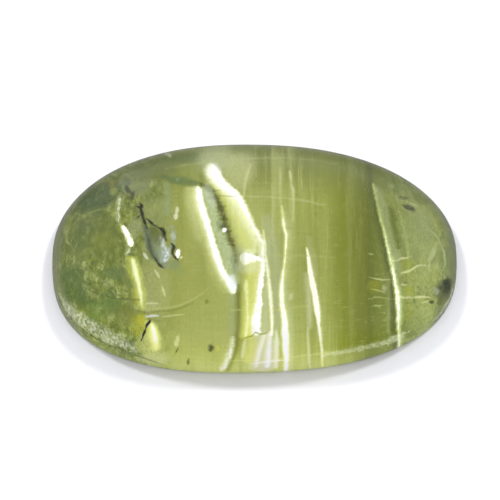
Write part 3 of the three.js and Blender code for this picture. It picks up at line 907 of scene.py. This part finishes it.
# One mark laid over the colour, with what it takes from the clearness
def addMark(colour, clear, places, mark, kind, name):
    xs, rs, above, ragged, grain, gritty = places
    soft = name == "softSpots"
    wash = None
    if kind == "spot":
        rough = mark.get("rough", body["roughSpots"] if soft else body["roughMarks"])
        inside = spotMask(xs, rs, ragged, mark, rough)
    elif kind == "along":
        inside, wash = streakMask(xs, rs, ragged, mark, True)
    else:
        inside, wash = streakMask(rs, xs, ragged, mark, False)
    inside = inside * (grain if name == "silkBands" else above)
    uneven = mark.get("uneven", body["unevenSpots"] if soft else 0.0)
    if uneven:
        inside = inside * gritty.maths("MULTIPLY_ADD", uneven, 1 - uneven)
    if wash is not None:
        colour = colour.mix(mark["glow"][1], wash * (mark["glow"][2] * mark["strength"]))
    colour = colour.mix(mark["tone"], inside * mark["strength"])
    if "core" in mark:
        colour = colour.mix(mark["core"], inside.step(*mark.get("coreAt", body["coreAt"])))
    if "cover" in mark:
        clear = clear * inside.maths("MULTIPLY_ADD", -mark["cover"], 1.0)
    return colour, clear


def opalFinish():
    look = bpy.data.materials.new("greenOpal")
    look.use_nodes = True
    tree = look.node_tree
    milky = tree.nodes["Principled BSDF"]
    colour, clear, frost, grit = opalLayers(tree)
    tree.links.new(colour.socket, milky.inputs["Base Color"])
    glass = tree.nodes.new("ShaderNodeBsdfPrincipled")
    glass.inputs["Base Color"].default_value = body["glassTint"]
    glass.inputs["Transmission Weight"].default_value = 1.0
    dull = frost.maths("MULTIPLY_ADD", body["frostDull"], body["gloss"])
    uneven = addNode(tree, "ShaderNodeBump", None,
                     {"Strength": frost, "Distance": body["frostDepth"] * mm, "Height": grit})
    for shader in (milky, glass):
        tree.links.new(dull.socket, shader.inputs["Roughness"])
        shader.inputs["IOR"].default_value = body["bend"]
    tree.links.new(uneven.socket, milky.inputs["Normal"])
    blend = addNode(tree, "ShaderNodeMixShader", None, {0: clear})
    tree.links.new(milky.outputs[0], blend.socket.node.inputs[1])
    tree.links.new(glass.outputs[0], blend.socket.node.inputs[2])
    out = tree.nodes["Material Output"]
    tree.links.new(blend.socket, out.inputs["Surface"])
    soak = addNode(tree, "ShaderNodeVolumeAbsorption", None,
                   {"Color": body["soak"], "Density": body["soakDensity"]})
    tree.links.new(soak.socket, out.inputs["Volume"])
    return look


stone.data.materials.append(opalFinish())
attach(stone, "root")
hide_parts("cut_opal")


# What the stone holds, placed under the pixels where the photo shows it
shell = stone.data
corners = np.empty(len(shell.vertices) * 3)
shell.vertices.foreach_get("co", corners)
skin = BVHTree.FromPolygons((corners.reshape(-1, 3) / mm).tolist(),
                            [tuple(face.vertices) for face in shell.polygons])
elevation = math.radians(viewAngle["elevation"])
sight = Vector((0, math.cos(elevation), -math.sin(elevation)))


# Where a pixel meets the surface, and the way the sight goes on inside, bent by Snell's law
def beneath(across, down):
    x, rise = fromPhoto(across, down)
    start = Vector((x, rise * -sight.z, rise * sight.y)) - sight * sealed["lookFrom"]
    hit, normal, face, far = skin.ray_cast(start, sight)
    if hit is None:
        return None
    ratio = 1 / body["bend"]
    facing = -normal.dot(sight)
    inward = sight * ratio + normal * (ratio * facing - math.sqrt(1 - ratio ** 2 * (1 - facing ** 2)))
    return np.array(hit), np.array(inward)


# A route as a smooth line of places and inward ways, with the half width beside each
def lineUnder(route):
    points = np.array(route, float)
    along = np.concatenate(([0], np.cumsum(np.hypot(*np.diff(points[:, :2], axis=0).T))))
    at = np.linspace(0, along[-1], sealed["samples"])
    smooth = np.stack([np.interp(at, along, column) for column in points.T], axis=1)
    for time in range(sealed["smoothings"]):
        smooth[1:-1] = (smooth[:-2] + 2 * smooth[1:-1] + smooth[2:]) / 4
    found = [(*ray, half) for *pixels, half in smooth for ray in [beneath(*pixels)] if ray]
    places, inward, half = (np.array(part) for part in zip(*found))
    return places, inward, half / viewAngle["pixelsPerMm"]


# A solid carried along a line: an ellipse of the half width and half depth at each place, which starts at top
# under the surface and leans. Rough makes it uneven, and points close its ends.
def carried(places, inward, halfWidth, halfDepth, top, lean, rough, point):
    sides = sealed["sides"]
    count = len(places)
    ahead = np.gradient(places, axis=0)
    deep = inward + np.array(lean)
    deep /= np.linalg.norm(deep, axis=1, keepdims=True)
    side = np.cross(ahead, deep)
    side /= np.linalg.norm(side, axis=1, keepdims=True)
    # The size falls to nothing at both ends, slowly where point is small
    share = np.linspace(-1, 1, count)[:, None]
    taper = np.sqrt(np.clip(1 - share ** point, 0, 1))
    taper[[0, -1]] = sealed["tipSize"]
    angle = np.linspace(0, 2 * math.pi, sides, endpoint=False)[None, :]
    uneven = 1 + rough * rng.uniform(-1, 1, (count, sides))
    wide = halfWidth[:, None] * taper * uneven * np.cos(angle)
    tall = halfDepth * taper * uneven * np.sin(angle)
    middle = places + inward * top + deep * halfDepth
    ring = middle[:, None, :] + side[:, None, :] * wide[..., None] + deep[:, None, :] * tall[..., None]
    points = np.concatenate((ring.reshape(-1, 3), middle[:1], middle[-1:]))
    # A smooth floor: the lowest height, plus ln(1 + e^(sharpness * height above it)) / sharpness
    lowest, sharp = sealed["lowest"], sealed["floorSharpness"]
    points[:, 2] = lowest + np.logaddexp(0, (points[:, 2] - lowest) * sharp) / sharp
    return points, netFaces(count, sides)


# Several closed solids as one object with one material
def sealedPiece(name, solids, look):
    points, faces, used = [], [], 0
    for corners, sides in solids:
        points.append(corners)
        faces += [[corner + used for corner in side] for side in sides]
        used += len(corners)
    mesh = bpy.data.meshes.new(name)
    mesh.from_pydata((np.concatenate(points) * mm).tolist(), [], faces)
    mesh.validate()
    made = bmesh.new()
    made.from_mesh(mesh)
    bmesh.ops.recalc_face_normals(made, faces=made.faces)
    made.to_mesh(mesh)
    made.free()
    mesh.shade_smooth()
    piece = bpy.data.objects.new(name, mesh)
    scene.collection.objects.link(piece)
    mesh.materials.append(look)
    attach(piece, "root")
    print(name, "made,", len(faces), "faces")


# A plain finish whose colour drifts between two tones. Where cover is under 1, a noise leaves gaps in it.
def sealedLook(name, pale, dark, grain, roughness, stretch=(1, 1, 1), cover=1.0, gaps=0.0):
    look = bpy.data.materials.new(name)
    look.use_nodes = True
    tree = look.node_tree
    shader = tree.nodes["Principled BSDF"]
    where = addNode(tree, "ShaderNodeTexCoord", output=3)
    solid = addNode(tree, "ShaderNodeVectorMath", {"operation": "SCALE"}, {0: where, "Scale": 1 / mm})
    drift = solid.noise(grain, *sealed["noise"], stretch)
    base = addNode(tree, "ShaderNodeMix", {"data_type": "RGBA"},
                   {0: drift.step(*sealed["drift"]), 6: hue(*dark), 7: hue(*pale)}, 2)
    tree.links.new(base.socket, shader.inputs["Base Color"])
    shader.inputs["Roughness"].default_value = roughness
    if cover < 1:
        holes = solid.noise(grain * sealed["holeScale"], *sealed["noise"], stretch)
        alpha = holes.step(0.5 - gaps, 0.5 + gaps) * cover
        tree.links.new(alpha.socket, shader.inputs["Alpha"])
    return look


sealed = {
    "seed": 71,
    "lowest": 0.12,             # nothing comes nearer to the base than about this
    "floorSharpness": 8.0,
    "lookFrom": 20.0,           # millimetres before the stone, where each look towards it starts
    "samples": 26,              # places along a line
    "smoothings": 3,
    "sides": 10,
    "tipSize": 0.02,            # share of the full size at both ends
    "noise": (3.0, 0.6),        # detail and roughness of the finishes' noise
    "drift": (0.38, 0.62),      # where it turns from the dark to the pale tone
    "holeScale": 1.7,
    "threadTop": 0.07,          # millimetres under the surface
    "threadThinnest": 0.016,
    "threadFlatness": 0.9,
    "threadRough": 0.3,
    "veilTop": 0.12,
    "veilDepth": 0.55,          # half of how far a veil goes down
    "veilShare": 0.35,          # of the half width of its band
    "veilThickness": 0.03,
    "veilRough": 0.08,
    "veilLean": (-0.55, 0.0, 0.0),
    "fissureTop": 0.08,
    "fissureDepth": 0.4,
    "fissureLean": (0.0, 0.5, 0.0),
    "blunt": 8,                 # even powers, the larger the blunter the ends
    "pointed": 2,
    "flakes": {"left": (95, (66, 186), (186, 338)), "right": (60, (388, 446), (200, 326))},
    "flakeRoom": ((254, 259), (188, 105)),  # middle and half size in photo pixels of where they may lie
    "flakeNet": (5, 8),         # rings and corners
    "flakeDepth": (0.1, 1.3),
    "flakeSize": (0.03, 0.09),
    "flakeShape": (0.5, 1.6, 0.35),
    "flakeUneven": (0.6, 1.4),
    "flakeRough": 0.2,
    "flakeTurns": (("X", 0.5), ("Z", 0.5), ("Y", 0.6)),
}
rng = np.random.default_rng(sealed["seed"])


def veil(mark, depth, lean, top):
    places, inward, half = lineUnder(mark["route"])
    width = np.maximum(half * sealed["veilShare"], sealed["veilThickness"])
    return carried(places, inward, width, depth, top, lean, sealed["veilRough"], sealed["blunt"])


def thread(mark, point):
    places, inward, half = lineUnder(mark["route"])
    width = np.maximum(half, sealed["threadThinnest"])
    depth = float(width.mean()) * sealed["threadFlatness"]
    return carried(places, inward, width, depth, sealed["threadTop"], (0, 0, 0), sealed["threadRough"], point)


silk = sealedLook("silkVeil", (250, 251, 236), (214, 219, 150), grain=9.0, roughness=0.35,
                  stretch=(1.0, 0.12, 0.12), cover=0.6, gaps=0.22)
silkMarks = {**silkBands, **glints}
sealedPiece("silkVeils", [veil(silkMarks[name], sealed["veilDepth"], sealed["veilLean"], sealed["veilTop"])
                          for name in ("leftBand", "broadBand", "lowerBand", "twinBand", "longBand",
                                       "rightBand", "brightLine", "leftStreak")], silk)
film = sealedLook("fissureFilm", (208, 216, 150), (168, 178, 98), grain=6.0, roughness=0.25,
                  cover=0.45, gaps=0.2)
sealedPiece("fissures", [veil(crossLines[name], sealed["fissureDepth"], sealed["fissureLean"],
                              sealed["fissureTop"])
                         for name in ("fissureLight", "leftArc", "greenEdge")], film)
growth = sealedLook("blackGrowth", (46, 50, 34), (16, 18, 12), grain=14.0, roughness=0.5)
sealedPiece("darkThreads", [thread(mark, sealed["blunt"])
                            for name, mark in {**blackThreads, **blackBranches}.items()
                            if name != "sweep"], growth)
pale = sealedLook("paleHair", (244, 247, 214), (206, 214, 140), grain=12.0, roughness=0.3)
sealedPiece("paleHairs", [thread(mark, sealed["pointed"])
                          for name, mark in crossLines.items() if name.startswith("hair")], pale)


# Small closed flakes strewn under the surface between two depths: a ball of rings, x = sin(lift) cos(turn),
# y = sin(lift) sin(turn) and z = cos(lift), made rough, squeezed, turned and moved for each
def strewFlakes(name, count, acrossRange, downRange, look):
    rings, sides = sealed["flakeNet"]
    lift = np.linspace(0, math.pi, rings + 2)[1:-1, None]
    turn = np.linspace(0, 2 * math.pi, sides, endpoint=False)[None, :]
    ball = np.stack((np.sin(lift) * np.cos(turn), np.sin(lift) * np.sin(turn), np.cos(lift) + 0 * turn), -1)
    ball = np.concatenate((ball.reshape(-1, 3), [[0, 0, 1]], [[0, 0, -1]]))
    faces = netFaces(rings, sides)
    middle, room = sealed["flakeRoom"]
    solids = []
    while len(solids) < count:
        across, down = rng.uniform(*acrossRange), rng.uniform(*downRange)
        # Inside the outline, with some room
        if ((across - middle[0]) / room[0]) ** 2 + ((down - middle[1]) / room[1]) ** 2 > 1:
            continue
        place, inward = beneath(across, down)
        sizes = rng.uniform(*sealed["flakeSize"]) * np.array(sealed["flakeShape"])
        sizes = sizes * rng.uniform(*sealed["flakeUneven"], 3)
        spin = Matrix.Identity(3)
        for axis, spread in sealed["flakeTurns"]:
            spin = spin @ Matrix.Rotation(rng.normal(0, spread), 3, axis)
        flake = ball * (1 + sealed["flakeRough"] * rng.uniform(-1, 1, (len(ball), 1))) * sizes
        solids.append((flake @ np.array(spin).T + place + inward * rng.uniform(*sealed["flakeDepth"]), faces))
    sealedPiece(name, solids, look)


flakeLook = sealedLook("paleFlake", (238, 242, 200), (176, 186, 112), grain=7.0, roughness=0.3)
for side, plan in sealed["flakes"].items():
    strewFlakes(side + "Flakes", *plan, flakeLook)


# Floor, lights and world
def makeStage(s):
    side = s["floorSide"] / 2
    drop = -s["floorDrop"] * mm
    mesh = bpy.data.meshes.new("floor")
    mesh.from_pydata([(-side, -side, drop), (side, -side, drop), (side, side, drop), (-side, side, drop)],
                     [], [(0, 1, 2, 3)])
    floor = bpy.data.objects.new("floor", mesh)
    floor.visible_glossy = False     # the stone's edge mirrors the grey of the world's lower half
    scene.collection.objects.link(floor)
    paper = bpy.data.materials.new("paper")
    paper.use_nodes = True
    shader = paper.node_tree.nodes["Principled BSDF"]
    shader.inputs["Base Color"].default_value = (*s["floorShade"], 1.0)
    shader.inputs["Roughness"].default_value = 1.0
    shader.inputs["Specular IOR Level"].default_value = 0.0
    mesh.materials.append(paper)

    world = bpy.data.worlds.new("studio")
    scene.world = world
    world.use_nodes = True
    tree = world.node_tree
    look = addNode(tree, "ShaderNodeTexCoord")
    height = addNode(tree, "ShaderNodeSeparateXYZ", None, {0: look}, 2)
    edge = s["worldEdge"]
    glow = height.step(*edge) * (s["worldAbove"] - s["worldBelow"]) + s["worldBelow"]
    background = tree.nodes["Background"]
    tree.links.new(glow.socket, background.inputs["Color"])

    # Two lamps behind the stone, apart from each other, so that the shadow is as wide as the stone
    for name, turn in (("backLampLeft", -s["lampTurn"]), ("backLampRight", s["lampTurn"])):
        data = bpy.data.lights.new(name, "SUN")
        data.energy = s["lampStrength"] / 2
        data.angle = math.radians(s["lampSpread"])
        lamp = bpy.data.objects.new(name, data)
        lamp.rotation_euler = (math.radians(s["lampElevation"] - 90), 0, math.radians(turn))
        lamp.visible_glossy = False
        lamp.visible_transmission = False
        scene.collection.objects.link(lamp)


makeStage(studio)
scene.view_settings.view_transform = "Standard"
print("floor, lamps and world ready")
